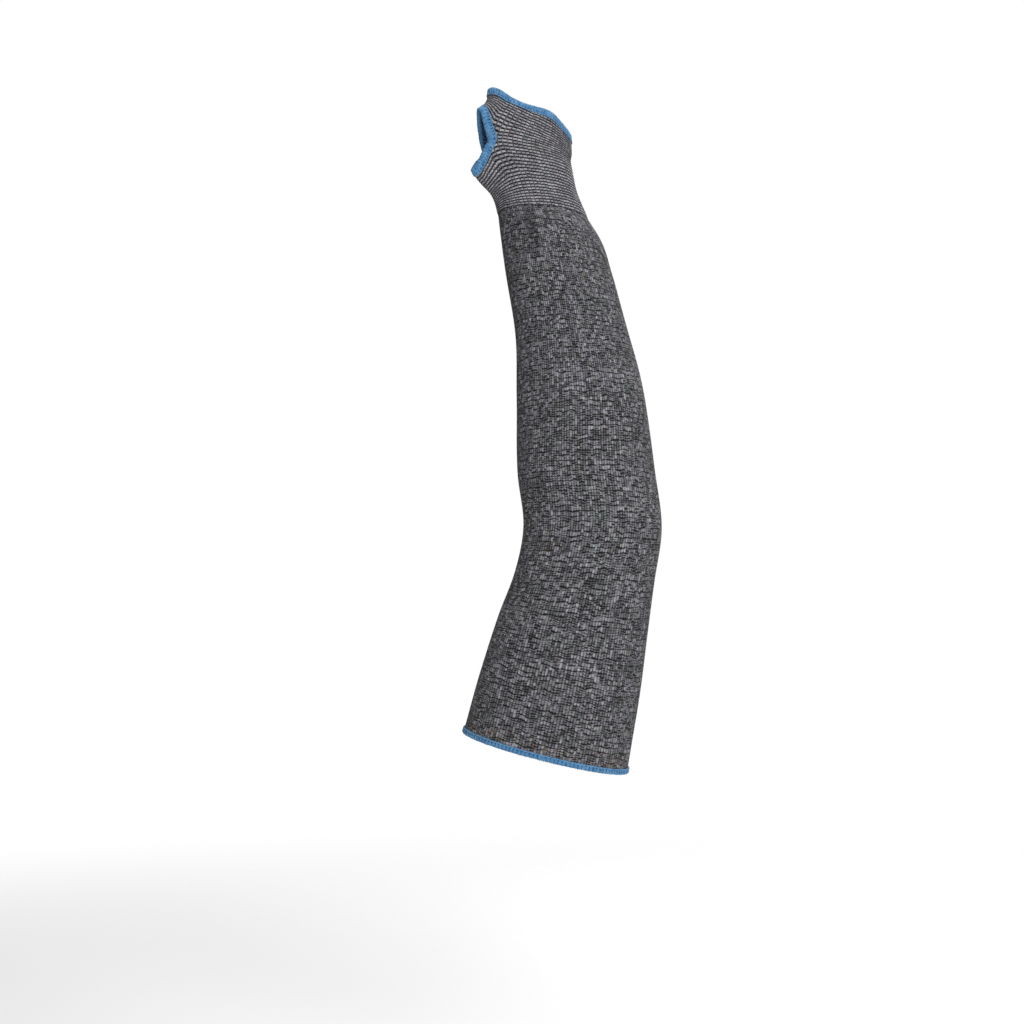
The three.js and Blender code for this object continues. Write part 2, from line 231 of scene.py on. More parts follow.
def upper_panel(u, off):
    """Point of the cuff above the thumb hole. off: 0 at the hole, 1 at the hand edge."""
    u, off = np.broadcast_arrays(u, np.clip(off, 0, 1))
    near = 1 - off
    point, thumbward = cuff_point(u, thumb_hole_at + (1 - thumb_hole_at) * off, near)
    share = lip_share(u, off)
    point[..., 2] += upper_lip_rise * share * near ** upper_lip["rise_power"]
    for wave in hand_edge_waves:
        away = turn_between(u, math.radians(wave["around"])) / math.radians(wave["spread"])
        point[..., 2] += wave["high"] * cuff_length * np.exp(-away * away) * off ** edge_wave_fall
    return point + thumbward * (upper_lip_flare * share * near ** upper_lip["flare_power"])[..., None]


def lower_panel(u, off):
    """Point of the cuff below the thumb hole. off: 0 at the hole, 1 at the wrist."""
    u, off = np.broadcast_arrays(u, np.clip(off, 0, 1))
    near = 1 - off
    point, thumbward = cuff_point(u, thumb_hole_at * near, near)
    share = lip_share(u, off)
    point[..., 2] -= thumb_drop * share * near ** lower_lip["drop_power"]
    return point + thumbward * (lower_lip_flare * share * near ** lower_lip["flare_power"])[..., None]


def unit(vectors):
    return vectors / np.linalg.norm(vectors, axis=-1, keepdims=True)


small_share = 0.002


def normal_at(surface, u, v, up):
    """Outward normal of a surface given as point(u, v). up: 1 where v runs up the sleeve, -1 where down."""
    low = np.clip(v - small_share, 0, 1 - 2 * small_share)
    across = surface(u + small_share, v) - surface(u - small_share, v)
    along_v = surface(u, low + 2 * small_share) - surface(u, low)
    return unit(np.cross(across, along_v)) * up


# Camera, light and floor
camera_place = (-0.0229, -1.6, 0.1637)
camera_lens = 82.1
sensor_width = 36
floor_drop = 0.27
floor_radius = 1.6
floor_sides = 96
floor_fade = 1.6
sleeve_middle = Vector((0.01, 0.0, 0.22))


def add_camera():
    data = bpy.data.cameras.new("camera")
    data.lens = camera_lens
    data.sensor_width = sensor_width
    camera = bpy.data.objects.new("camera", data)
    camera.location = camera_place
    camera.rotation_euler = (math.pi / 2, 0, 0)
    bpy.context.scene.collection.objects.link(camera)
    bpy.context.scene.camera = camera


def add_softbox(name, place, size, power):
    """A round soft light that faces the middle of the sleeve."""
    data = bpy.data.lights.new(name, "AREA")
    data.shape = "DISK"
    data.size = size
    data.energy = power
    light = bpy.data.objects.new(name, data)
    light.location = place
    light.rotation_euler = (sleeve_middle - Vector(place)).to_track_quat("-Z", "Y").to_euler()
    bpy.context.scene.collection.objects.link(light)


def set_world(seen, light):
    """A white surround: seen is its strength to the camera, light its strength on the sleeve."""
    world = bpy.data.worlds.new("studio")
    world.use_nodes = True
    nodes, links = world.node_tree.nodes, world.node_tree.links
    path = nodes.new("ShaderNodeLightPath")
    strength = nodes.new("ShaderNodeMapRange")
    strength.inputs["To Min"].default_value = light
    strength.inputs["To Max"].default_value = seen
    links.new(path.outputs["Is Camera Ray"], strength.inputs["Value"])
    background = nodes["Background"]
    background.inputs["Color"].default_value = (1, 1, 1, 1)
    links.new(strength.outputs["Result"], background.inputs["Strength"])
    bpy.context.scene.world = world


# Shader expressions: an expression on values adds Math nodes, and put() adds any other node
class Value:
    """A socket of numbers."""

    def __init__(self, tree, socket):
        self.tree = tree
        self.socket = socket

    def math(self, operation, *others):
        sockets = dict(enumerate((self, *others)))
        return self.tree.value("ShaderNodeMath", {"operation": operation}, sockets)

    def __add__(self, other):
        return self.math("ADD", other)

    def __sub__(self, other):
        return self.math("SUBTRACT", other)

    def __rsub__(self, other):
        return self * -1 + other

    def __mul__(self, other):
        return self.math("MULTIPLY", other)

    def __truediv__(self, other):
        return self.math("DIVIDE", other)

    def __pow__(self, other):
        return self.math("POWER", other)

    def __abs__(self):
        return self.math("ABSOLUTE")

    __radd__ = __add__
    __rmul__ = __mul__

    def floor(self):
        return self.math("FLOOR")

    def fract(self):
        return self.math("FRACT")

    def sine(self):
        return self.math("SINE")

    def clamp(self):
        return self.math("MAXIMUM", 0.0).math("MINIMUM", 1.0)

    def wave(self):
        """0 to 1 and back for each whole number."""
        return (self * math.tau).math("COSINE") * -0.5 + 0.5


def set_stops(ramp, stops):
    while len(ramp.elements) < len(stops):
        ramp.elements.new(0.5)
    for element, (place, colour) in zip(ramp.elements, stops):
        element.position = place
        element.color = (*colour, 1)


class Tree:
    """A material's nodes."""

    def __init__(self, name):
        self.material = bpy.data.materials.new(name)
        self.material.use_nodes = True
        self.nodes = self.material.node_tree.nodes
        self.links = self.material.node_tree.links
        self.shader = self.nodes["Principled BSDF"]

    def put(self, kind, settings, sockets):
        node = self.nodes.new(kind)
        for name, value in settings.items():
            if name == "stops":
                set_stops(node.color_ramp, value)
            else:
                setattr(node, name, value)
        self.feed(node, sockets)
        return node

    def feed(self, node, sockets):
        for name, value in sockets.items():
            if isinstance(value, Value):
                self.links.new(value.socket, node.inputs[name])
            else:
                node.inputs[name].default_value = value

    def value(self, kind, settings, sockets, output=0):
        return Value(self, self.put(kind, settings, sockets).outputs[output])

    def coordinates(self, output):
        return self.value("ShaderNodeTexCoord", {}, {}, output)

    def axes(self, vector):
        node = self.put("ShaderNodeSeparateXYZ", {}, {0: vector})
        return [Value(self, socket) for socket in node.outputs]

    def vector(self, x, y, z=0.0):
        return self.value("ShaderNodeCombineXYZ", {}, {0: x, 1: y, 2: z})

    def noise(self, vector, scale, detail=2.0, rough=0.5):
        sockets = {"Vector": vector, "Scale": scale, "Detail": detail, "Roughness": rough}
        return self.value("ShaderNodeTexNoise", {}, sockets, "Fac")

    def chance(self, x, y, z=0.0):
        """An even random number from 0 to 1 for each place."""
        return self.value("ShaderNodeTexWhiteNoise", {}, {"Vector": self.vector(x, y, z)}, "Value")

    def ramp(self, factor, *stops):
        return self.value("ShaderNodeValToRGB", {"stops": stops}, {"Fac": factor}, "Color")

    def blend(self, factor, a, b, kind="MIX"):
        sockets = {0: factor, 6: full(a), 7: full(b)}
        return self.value("ShaderNodeMix", {"data_type": "RGBA", "blend_type": kind}, sockets, 2)

    def bump(self, height, strength, distance):
        sockets = {"Strength": strength, "Distance": distance, "Height": height}
        return self.value("ShaderNodeBump", {}, sockets)


def full(colour):
    return (*colour, 1) if isinstance(colour, tuple) else colour


def srgb(red, green, blue):
    """The colour that a screen shows with these three numbers, from 0 to 255."""
    shares = [number / 255 for number in (red, green, blue)]
    return tuple(c / 12.92 if c < 0.04045 else ((c + 0.055) / 1.055) ** 2.4 for c in shares)


def window(value, centre, half, soft):
    """1 within half of the centre, falling to 0 over a soft edge."""
    return ((half - abs(value - centre)) / soft + 0.5).clamp()


# The tube's pattern: drift and dip are counted in courses, and places are shares of the tube
course_drift = 2.6
stitch_dip = 0.25
hem_flecks = {"centre": 0.016, "half": 0.014, "soft": 0.02}
pucker_shade_spot = {
    "around": {"centre": 0.632, "half": 0.026, "soft": 0.045},
    "up": {"centre": 0.95, "half": 0.035, "soft": 0.05},
}


def marl_knit_material():
    """Fine marled jersey: wales of pale stitches, crossed by dark strokes where the dark yarn floats.

    Every stitch has its own grey. Some wales stand apart by painted shade in the groove beside them, the hem
    has a few coloured flecks, and one place near the wrist has painted shade, where the tube puckers as it is
    drawn in.
    """
    tree = Tree("marl_knit")
    around, up, _ = tree.axes(tree.coordinates("UV"))
    wale = around * tube_wales
    side = abs(wale.fract() - 0.5) * 2
    line = up * tube_courses
    drift = tree.noise(tree.vector(wale * 0.34, line * 0.2), 1.0, 1.0) - 0.5
    course = line + drift * course_drift - side * stitch_dip
    row = course.floor()
    own = tree.chance(wale.floor(), row)
    every_other = (row * 0.5).fract() * 0.26
    float_share = tree.noise(tree.vector(wale * 0.44, row * 5.3), 1.0, 1.0) + every_other
    stroke = window(course.fract(), 0.5, 0.24, 0.3) * ((float_share - 0.45) * 5).clamp()
    # Painted shade: the sides of some wales are darkened, as shade in the groove between them
    groove_shade_share = tree.noise(tree.vector(wale.floor() * 4.7, line * 0.22), 1.0, 1.0)
    painted_groove_shade = ((side - 0.35) * 2.2).clamp() * ((groove_shade_share - 0.3) * 3).clamp()
    place = tree.coordinates("Object")
    mottle = tree.noise(place, 90.0, 2.0, 0.6)
    light = (own - 0.5) * 0.44 + (mottle - 0.5) * 0.2 + 0.69
    light = (light - stroke * 0.6 - painted_groove_shade * 0.32).clamp()
    colour = tree.ramp(
        light,
        (0.00, srgb(22, 22, 23)),
        (0.30, srgb(54, 54, 56)),
        (0.60, srgb(104, 104, 107)),
        (0.80, srgb(144, 144, 148)),
        (1.00, srgb(184, 184, 188)),
    )
    tint = tree.ramp(
        tree.noise(place, 95.0, 3.0, 0.7),
        (0.30, srgb(212, 224, 222)),
        (0.44, srgb(224, 223, 220)),
        (0.56, srgb(224, 223, 234)),
        (0.72, srgb(236, 222, 206)),
    )
    colour = tree.blend(0.75, colour, tint, "MULTIPLY")
    ridge = (1 - side ** 3) * ((side * math.pi).sine() * 0.25 + 0.75)
    height = ridge - stroke * 0.5
    fleck = ((tree.noise(place, 620.0, 1.0) - 0.62) * 16).clamp() * window(up, **hem_flecks)
    hue = tree.ramp(tree.noise(place, 240.0, 1.0), (0.44, srgb(88, 104, 72)), (0.56, srgb(156, 96, 62)))
    colour = tree.blend(fleck * 0.6, colour, hue)
    # Painted shade of the pucker near the wrist: the colour is darkened there towards near black
    painted_pucker_shade = window(around, **pucker_shade_spot["around"]) * window(up, **pucker_shade_spot["up"])
    colour = tree.blend(painted_pucker_shade * 0.52, colour, srgb(34, 34, 37))
    fluff = tree.noise(place, 2600.0, 2.0, 0.7)
    normal = tree.bump(height + fluff * 0.35, 0.8, 0.0005)
    tree.feed(tree.shader, {"Base Color": colour, "Normal": normal, "Roughness": 0.95})
    tree.feed(tree.shader, {"Specular IOR Level": 0.15, "Sheen Weight": 0.03, "Sheen Roughness": 0.5})
    return tree.material


def cuff_knit_material():
    """Coarse knit: a light dash over a dark one in each stitch, between grey wales."""
    tree = Tree("cuff_knit")
    around, up, _ = tree.axes(tree.coordinates("UV"))
    column = around * cuff_columns
    row = up * cuff_rows + (tree.noise(tree.vector(column * 0.6, up * 9), 1.0, 1.0) - 0.5) * 0.55
    own = tree.chance(column.floor(), row.floor())
    across, rise = (column + (own - 0.5) * 0.1).fract(), row.fract()
    # Painted shade: where the colour darkens in the gaps between the columns
    painted_gap_shade = 1 - window(across, 0.5, 0.4, 0.12)
    other = tree.chance(column.floor(), row.floor(), 3.7)
    place = tree.coordinates("Object")
    pit = window(across, 0.5 + (other - 0.5) * 0.08, 0.36, 0.12)
    pit = pit * window(rise, dash_rise["dark"], 0.24, 0.12)
    dash = window(across, 0.5, own * 0.12 + 0.32, 0.14)
    dash = dash * window(rise, dash_rise["light"], 0.27, 0.2)
    twist = (column * 5.5 + row * 2.2 + own * 4).wave()
    pale = tree.ramp(
        own * 0.55 + tree.noise(place, 900.0) * 0.5,
        (0.10, srgb(122, 122, 126)),
        (0.50, srgb(160, 159, 163)),
        (0.90, srgb(194, 192, 195)),
    )
    pale = tree.blend(twist * 0.35, pale, srgb(82, 80, 84))
    hue = tree.ramp(
        tree.noise(place, 160.0, 2.0, 0.6),
        (0.32, srgb(226, 236, 234)),
        (0.48, srgb(240, 240, 241)),
        (0.60, srgb(238, 232, 244)),
        (0.76, srgb(246, 234, 226)),
    )
    pale = tree.blend(0.8, pale, hue, "MULTIPLY")
    ground = tree.blend(other, srgb(62, 62, 65), srgb(102, 101, 105))
    dark = tree.blend(own, srgb(10, 10, 12), srgb(30, 29, 32))
    colour = tree.blend(pit, tree.blend(dash, ground, pale), dark)
    # Painted shade: the colour is darkened towards near black in the gaps between the columns
    colour = tree.blend(painted_gap_shade * 0.5, colour, srgb(22, 22, 24))
    fluff = tree.noise(place, 2400.0, 2.0, 0.7)
    height = dash * 0.6 - pit * 0.8 + twist * dash * 0.35 + fluff * 0.3
    normal = tree.bump(height, 0.6, 0.0004)
    tree.feed(tree.shader, {"Base Color": colour, "Normal": normal, "Roughness": 0.9})
    tree.feed(tree.shader, {"Specular IOR Level": 0.2, "Sheen Weight": 0.03, "Sheen Roughness": 0.5})
    return tree.material


def blue_thread_material():
    """Soft crimped overlock thread: fine filaments along it, with painted shade on its sides and painted
    light on its crown.
    """
    tree = Tree("blue_thread")
    along_thread, round_thread, _ = tree.axes(tree.coordinates("UV"))
    place = tree.coordinates("Object")
    filament = tree.noise(tree.vector(along_thread * 9, round_thread * 5), 1.0, 3.0, 0.6)
    patch = tree.noise(place, 420.0, 2.0, 0.6)
    colour = tree.ramp(
        filament * 0.6 + patch * 0.5,
        (0.30, srgb(34, 80, 121)),
        (0.52, srgb(62, 116, 161)),
        (0.75, srgb(108, 157, 193)),
    )
    # Painted shade and light: the colour darkens from the thread's crown towards its sides
    crown = ((round_thread - 0.25) * math.tau).math("COSINE")
    shade = (crown * 1.1 + 0.6).clamp()
    colour = tree.blend(shade, tree.blend(1.0, colour, (0.24, 0.29, 0.36), "MULTIPLY"), colour)
    frost = tree.noise(place, 150.0, 2.0, 0.6)
    colour = tree.blend(((frost - 0.5) * 3).clamp(), colour, srgb(104, 151, 188))
    normal = tree.bump(filament + tree.noise(place, 2600.0, 2.0, 0.7) * 0.5, 0.7, 0.00025)
    tree.feed(tree.shader, {"Base Color": colour, "Normal": normal, "Roughness": 0.8})
    tree.feed(tree.shader, {"Specular IOR Level": 0.3, "Sheen Weight": 0.15, "Sheen Roughness": 0.5})
    return tree.material


def add_floor():
    """A pale round floor that fades out into the white surround."""
    bpy.ops.mesh.primitive_circle_add(
        vertices=floor_sides, radius=floor_radius, fill_type="NGON", location=(0, 0, -floor_drop),
    )
    floor = bpy.context.object
    floor.name = "floor"
    bpy.ops.object.transform_apply(location=True, rotation=True, scale=True)
    tree = Tree("floor")
    x, y, _ = tree.axes(tree.coordinates("Object"))
    from_middle = ((x * x + y * y) ** 0.5) / floor_radius
    seen = ((1 - from_middle) * floor_fade).clamp()
    tree.feed(tree.shader, {"Base Color": (0.9, 0.9, 0.9, 1), "Roughness": 0.9})
    tree.feed(tree.shader, {"Alpha": seen * seen * (3 - 2 * seen)})
    floor.data.materials.append(tree.material)


# Fabric
def add_grid(columns, rows):
    """A flat grid of quads, and where its points lie across and up it, from 0 to 1."""
    bpy.ops.object.select_all(action="DESELECT")
    bpy.ops.mesh.primitive_grid_add(x_subdivisions=columns, y_subdivisions=rows, size=2)
    grid = bpy.context.object
    points = read_points(grid)
    return grid, (points[:, 0] + 1) / 2, (points[:, 1] + 1) / 2


def read_points(piece):
    points = np.empty(len(piece.data.vertices) * 3)
    piece.data.vertices.foreach_get("co", points)
    return points.reshape(-1, 3)


def write_points(piece, points):
    piece.data.vertices.foreach_set("co", points.ravel())
    piece.data.update()


def set_uv(piece, u, v):
    """Gives each corner of a face the pattern place of its point."""
    corners = np.empty(len(piece.data.loops), int)
    piece.data.loops.foreach_get("vertex_index", corners)
    layer = piece.data.uv_layers[0]
    layer.data.foreach_set("uv", np.stack([u[corners], v[corners]], axis=-1).ravel())


def set_relief(piece, relief):
    attribute = piece.data.attributes.new("relief", "FLOAT", "POINT")
    attribute.data.foreach_set("value", relief.astype(np.float32))


def select_only(*pieces):
    """Selects these pieces alone, the first of them active."""
    bpy.ops.object.select_all(action="DESELECT")
    for piece in pieces:
        piece.select_set(True)
    bpy.context.view_layer.objects.active = pieces[0]


def join(pieces):
    select_only(*pieces)
    bpy.ops.object.join()
    return pieces[0]


def open_whole(piece):
    """Starts edit mode on one piece, with all of it selected."""
    select_only(piece)
    bpy.ops.object.mode_set(mode="EDIT")
    bpy.ops.mesh.select_all(action="SELECT")


def weld(piece, distance):
    """Merges the points that lie together."""
    open_whole(piece)
    bpy.ops.mesh.remove_doubles(threshold=distance)
    bpy.ops.object.mode_set(mode="OBJECT")


def flip_faces(threads):
    """Turns the faces of mirrored threads outward again."""
    open_whole(threads)
    bpy.ops.mesh.flip_normals()
    bpy.ops.object.mode_set(mode="OBJECT")


def thicken(piece, wall):
    """Gives the skin its wall, inward, and then raises the outer skin's relief."""
    skin = len(piece.data.vertices)
    modifier = piece.modifiers.new("wall", "SOLIDIFY")
    modifier.thickness = wall
    modifier.offset = -1
    modifier.use_quality_normals = True
    bpy.context.view_layer.objects.active = piece
    bpy.ops.object.modifier_apply(modifier="wall")
    points = read_points(piece)
    normals = np.empty(len(points) * 3)
    piece.data.vertices.foreach_get("normal", normals)
    relief = np.empty(len(points))
    piece.data.attributes["relief"].data.foreach_get("value", relief)
    points[:skin] += normals.reshape(-1, 3)[:skin] * relief[:skin, None]
    write_points(piece, points)
    piece.data.attributes.remove(piece.data.attributes["relief"])


def finish_piece(piece, name, material, node):
    """Names a piece, gives it its material, hangs it on the root body, and hides the imported part of the
    node it stands for.
    """
    piece.name = name
    piece.data.name = name
    piece.data.materials.clear()
    piece.data.materials.append(material)
    select_only(piece)
    bpy.ops.object.shade_smooth()
    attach(piece, "root")
    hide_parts(node)
    return piece


def hump(value, centre, half):
    return np.cos(np.clip(np.abs(value - centre) / half, 0, 1) * math.pi / 2) ** 2


# Soft unevenness of the loose tube. deep: share of the gather depth.
tube_waves = (
    {"round": 3, "up": 2.3, "start": 0.4, "deep": 0.30},
    {"round": 5, "up": -3.1, "start": 1.9, "deep": 0.22},
    {"round": 8, "up": 5.2, "start": 4.0, "deep": 0.14},
    {"round": 13, "up": -4.4, "start": 2.6, "deep": 0.10},
)
wrist_puckers = (
    {"around": 16, "deep": -0.6, "spread": 5, "fall": 0.12},
    {"around": 32, "deep": 0.5, "spread": 5, "fall": 0.13},
    {"around": 46, "deep": -1.2, "spread": 6, "fall": 0.16},
    {"around": 59, "deep": 0.6, "spread": 5, "fall": 0.13},
    {"around": 73, "deep": -0.5, "spread": 4, "fall": 0.11},
    {"around": 95, "deep": -0.5, "spread": 4, "fall": 0.10},
    {"around": 130, "deep": -0.5, "spread": 6, "fall": 0.10},
    {"around": 185, "deep": -0.6, "spread": 6, "fall": 0.12},
    {"around": 225, "deep": -0.6, "spread": 6, "fall": 0.12},
    {"around": 268, "deep": -0.6, "spread": 6, "fall": 0.12},
    {"around": 320, "deep": -0.6, "spread": 6, "fall": 0.12},
)
tube_mesh = {"columns": 190, "rows": 232}
seam_distance = 0.00002


def make_tube():
    tube, across, up = add_grid(tube_mesh["columns"], tube_mesh["rows"])
    u = -math.pi + math.tau * across
    write_points(tube, tube_point(u, up))
    set_uv(tube, across, up)
    relief = np.zeros(len(u))
    for wave in tube_waves:
        phase = wave["round"] * u + math.tau * wave["up"] * up + wave["start"]
        relief += wave["deep"] * gather_depth * np.sin(phase) * np.sin(math.pi * up)
    for pucker in wrist_puckers:
        off = turn_between(u, math.radians(pucker["around"])) / math.radians(pucker["spread"])
        near_wrist = hump(up, 1 - pucker["fall"] / 2, pucker["fall"] / 2)
        relief += pucker["deep"] * gather_depth * np.exp(-off * off) * near_wrist
    set_relief(tube, relief)
    weld(tube, seam_distance)
    thicken(tube, tube_wall)
    return tube


# The cuff's stitch: where its light and its dark dash lie, and how far they stand out or sink in
dash_rise = {"light": 0.68, "dark": 0.2}
dash_relief = {"light": 0.00032, "dark": 0.00030}
stitch_across = np.array([0.0, 0.14, 0.34, 0.66, 0.86])
stitch_up = np.array([0.0, 0.20, 0.42, 0.68])
lip_calm = 1.6


def stitch_places(share, stitches, marks):
    """Moves evenly spaced places onto the marks of their stitch, counted in stitches."""
    step = np.rint(share * stitches * len(marks)).astype(int)
    return step // len(marks) + marks[step % len(marks)]


def cuff_relief(column, row):
    """Height of the knit, calm towards the thumb hole's lips and the hand edge."""
    across, rise = column % 1, row % 1
    light = hump(across, 0.5, 0.5) ** 0.5 * hump(rise, dash_rise["light"], 0.34)
    dark = hump(across, 0.5, 0.42) ** 0.6 * hump(rise, dash_rise["dark"], 0.24)
    relief = dash_relief["light"] * light - dash_relief["dark"] * dark
    ends = np.minimum(row, cuff_rows - row)
    return relief * np.clip(ends / lip_calm, 0, 1)


def make_panel(surface, rows, first_row, step):
    panel, across, up = add_grid(cuff_columns * len(stitch_across), rows * len(stitch_up))
    column = stitch_places(across, cuff_columns, stitch_across)
    count = stitch_places(up, rows, stitch_up)
    u = -math.pi + math.tau * column / cuff_columns
    off = count / rows if step > 0 else 1 - count / rows
    row = first_row + count
    write_points(panel, surface(u, off))
    set_uv(panel, column / cuff_columns, row / cuff_rows)
    near_lip = np.exp(-(off * rows / lip_calm) ** 2) * (np.abs(u) < hole_spread)
    set_relief(panel, cuff_relief(column, row) * (1 - near_lip))
    return panel


def make_cuff():
    lower = make_panel(lower_panel, cuff_rows_below, 0, -1)
    upper = make_panel(upper_panel, cuff_rows_above, cuff_rows_below, 1)
    cuff = join([lower, upper])
    weld(cuff, seam_distance)
    thicken(cuff, cuff_wall)
    return cuff


# Overlocked edges. A rim is the fabric's raw edge as a closed loop, with the way over the fabric from it.
# reach: width over the fabric. pitch: from pair to pair. thread: radius. zigzag: half the lean, in pitches.
overlocks = {
    "hem": {"reach": 0.0031, "pitch": 0.0028, "thread": 0.00060, "zigzag": 0.45, "seed": 11},
    "hand_edge": {"reach": 0.0048, "pitch": 0.0022, "thread": 0.00050, "zigzag": 0.36, "seed": 23},
    "thumb_hole": {"reach": 0.0048, "pitch": 0.0022, "thread": 0.00050, "zigzag": 0.36, "seed": 37},
}
edge_squash = 0.15
leg_steps = 12
rim_stations = 720
way_smoothing = 260
leg_smoothing = {"start": 6, "each_step": 8}
normal_smoothing = 8


class Rim:
    """Places on the U that a binding forms over a raw edge: s along it, t across it, h above the fabric.

    handedness is above 0 where s, t and h make a right-handed frame, and below 0 where they mirror one.
    """

    def __init__(self, points, normals, wall, overlock):
        self.points = points
        self.normals = normals
        self.wall = wall
        self.overlock = overlock
        self.reach = overlock["reach"]
        edge = points[:, 0]
        self.steps = np.linalg.norm(np.roll(edge, -1, axis=0) - edge, axis=-1)
        self.marks = np.concatenate([[0], np.cumsum(self.steps)])
        self.length = self.marks[-1]
        self.cap = math.pi * wall / 4
        self.outward = unit(edge - points[:, 1])
        along_edge = np.roll(edge, -1, axis=0) - edge
        self.handedness = (np.cross(along_edge, normals[:, 0]) * self.outward).sum()

    def between(self, table, s):
        """The table's row at a distance along the rim."""
        s = s % self.length
        i = np.clip(np.searchsorted(self.marks, s, side="right") - 1, 0, len(self.steps) - 1)
        share = ((s - self.marks[i]) / self.steps[i])[:, None]
        return table[i] * (1 - share) + table[(i + 1) % len(table)] * share

    def place(self, s, t, h):
        depth = np.clip((np.abs(t) - self.cap) / self.reach, 0, 1) * leg_steps
        k = np.clip(depth.astype(int), 0, leg_steps - 1)
        share = (depth - k)[:, None]
        points = np.empty((len(s), 3))
        normals = np.empty((len(s), 3))
        for step in range(leg_steps):
            here = k == step
            if here.any():
                near, far = share[here], 1 - share[here]
                at = s[here]
                points[here] = self.between(self.points[:, step], at) * far
                points[here] += self.between(self.points[:, step + 1], at) * near
                normals[here] = self.between(self.normals[:, step], at) * far
                normals[here] += self.between(self.normals[:, step + 1], at) * near
        normals = unit(normals)
        outward = unit(self.between(self.outward, s))
        angle = np.clip(t / self.cap, -1, 1) * math.pi / 2
        lift = np.sin(angle) * (self.wall / 2 + h)
        overhang = np.cos(angle) * (self.wall * edge_squash + h)
        return points + normals * (lift - self.wall / 2)[:, None] + outward * overhang[:, None]


def walk(surface, up, u, direction, reach):
    """The way over the fabric from its edge at v = 0, as far as the binding reaches: points and normals."""
    v = np.zeros_like(u)
    points, normals = [surface(u, v)], [normal_at(surface, u, v, up)]
    stride = reach / leg_steps
    for _ in range(leg_steps):
        base = surface(u, v)
        by_u = (surface(u + small_share, v) - base) / small_share
        by_v = (surface(u, v + small_share) - base) / small_share
        cross = (by_u * by_v).sum(-1)
        square_u, square_v = (by_u * by_u).sum(-1), (by_v * by_v).sum(-1)
        size = square_u * square_v - cross * cross
        go_u, go_v = (by_u * direction).sum(-1), (by_v * direction).sum(-1)
        travel_u = (go_u * square_v - go_v * cross) / size
        travel_v = (go_v * square_u - go_u * cross) / size
        travel = by_u * travel_u[:, None] + by_v * travel_v[:, None]
        scale = stride / np.linalg.norm(travel, axis=-1)
        u = u + travel_u * scale
        v = np.maximum(v + travel_v * scale, 0)
        points.append(surface(u, v))
        normals.append(normal_at(surface, u, v, up))
    return np.stack(points, axis=1), np.stack(normals, axis=1)


def edge_rim(surface, edge, inward, wall, overlock):
    """Rim of a round edge. edge: its v. inward: 1 where the fabric lies above it, -1 where below."""
    def from_edge(u, v):
        return surface(u, edge + inward * v)

    u = -math.pi + math.tau * np.arange(rim_stations) / rim_stations
    start = np.zeros_like(u)
    direction = unit(from_edge(u, start + small_share) - from_edge(u, start))
    return Rim(*walk(from_edge, inward, u, direction, overlock["reach"]), wall, overlock)


def smooth_loop(values, rounds):
    for _ in range(rounds):
        values = (np.roll(values, 1, axis=0) + 2 * values + np.roll(values, -1, axis=0)) / 4
    return values


def thumb_hole_rim(overlock):
    """Rim of the thumb hole: along the lower lip from palm to outer side, and back along the upper one.

    The further from the hole, the more the way over the fabric is smoothed, so that it turns the corners.
    """
    half = rim_stations // 2
    u = hole_spread * (2 * np.arange(half) / half - 1)
    ways = ((lower_panel, -1, u), (upper_panel, 1, -u))
    start = np.zeros(half)
    edge = np.concatenate([surface(at, start) for surface, _, at in ways])
    normal = np.concatenate([normal_at(surface, at, start, up) for surface, up, at in ways])
    tangent = np.roll(edge, -1, axis=0) - np.roll(edge, 1, axis=0)
    inward = unit(smooth_loop(unit(-np.cross(normal, tangent)), way_smoothing))
    legs = [
        walk(surface, up, at, inward[i * half:(i + 1) * half], overlock["reach"])
        for i, (surface, up, at) in enumerate(ways)
    ]
    points, normals = (np.concatenate(parts) for parts in zip(*legs))
    for step in range(leg_steps + 1):
        rounds = leg_smoothing["start"] + leg_smoothing["each_step"] * step
        points[:, step] = smooth_loop(points[:, step], rounds)
    return Rim(points, unit(smooth_loop(normals, normal_smoothing)), cuff_wall, overlock)


# Threads. breadth and height: shares of the round thread's. jitter: how much these vary from copy to copy.
thread_sides = 6
end_thinning = 0.55
wrap_cuts = 17
wrap_breadth = 1.12
wrap_height = 0.8
wrap_jitter = 0.12
wrap_wander = 0.0001
needle_cuts = 5
needle_overlap = 1.25
core_mesh = {"columns": 240, "rows": 16}
core_height = 0.00025
core_wall = 0.0002


def add_thread(radius, length, cuts):
    """One straight thread along Y, closed at both ends and a little thinner there."""
    bpy.ops.object.select_all(action="DESELECT")
    bpy.ops.mesh.primitive_cylinder_add(
        vertices=thread_sides, radius=radius, depth=length, end_fill_type="TRIFAN",
        rotation=(math.pi / 2, 0, 0),
    )
    thread = bpy.context.object
    bpy.ops.object.transform_apply(location=True, rotation=True, scale=True)
    bpy.ops.object.mode_set(mode="EDIT")
    bpy.ops.mesh.select_mode(type="EDGE")
    bpy.ops.mesh.select_all(action="DESELECT")
    bpy.ops.object.mode_set(mode="OBJECT")
    points = read_points(thread)
    for edge in thread.data.edges:
        a, b = edge.vertices
        edge.select = abs(points[a, 1] - points[b, 1]) > length / 2
    bpy.ops.object.mode_set(mode="EDIT")
    bpy.ops.mesh.subdivide(number_cuts=cuts)
    bpy.ops.object.mode_set(mode="OBJECT")
    points = read_points(thread)
    taper = 1 - end_thinning * (2 * np.abs(points[:, 1]) / length) ** 8
    points[:, 0] *= taper
    points[:, 2] *= taper
    write_points(thread, points)
    return thread


def repeat(thread, count, offset):
    """Copies of a thread side by side, as one mesh, with the number of the copy of each point."""
    each = len(thread.data.vertices)
    modifier = thread.modifiers.new("copies", "ARRAY")
    modifier.count = count
    modifier.use_relative_offset = False
    modifier.use_constant_offset = True
    modifier.constant_offset_displace = (offset, 0, 0)
    bpy.context.view_layer.objects.active = thread
    bpy.ops.object.modifier_apply(modifier="copies")
    return np.arange(len(thread.data.vertices)) // each


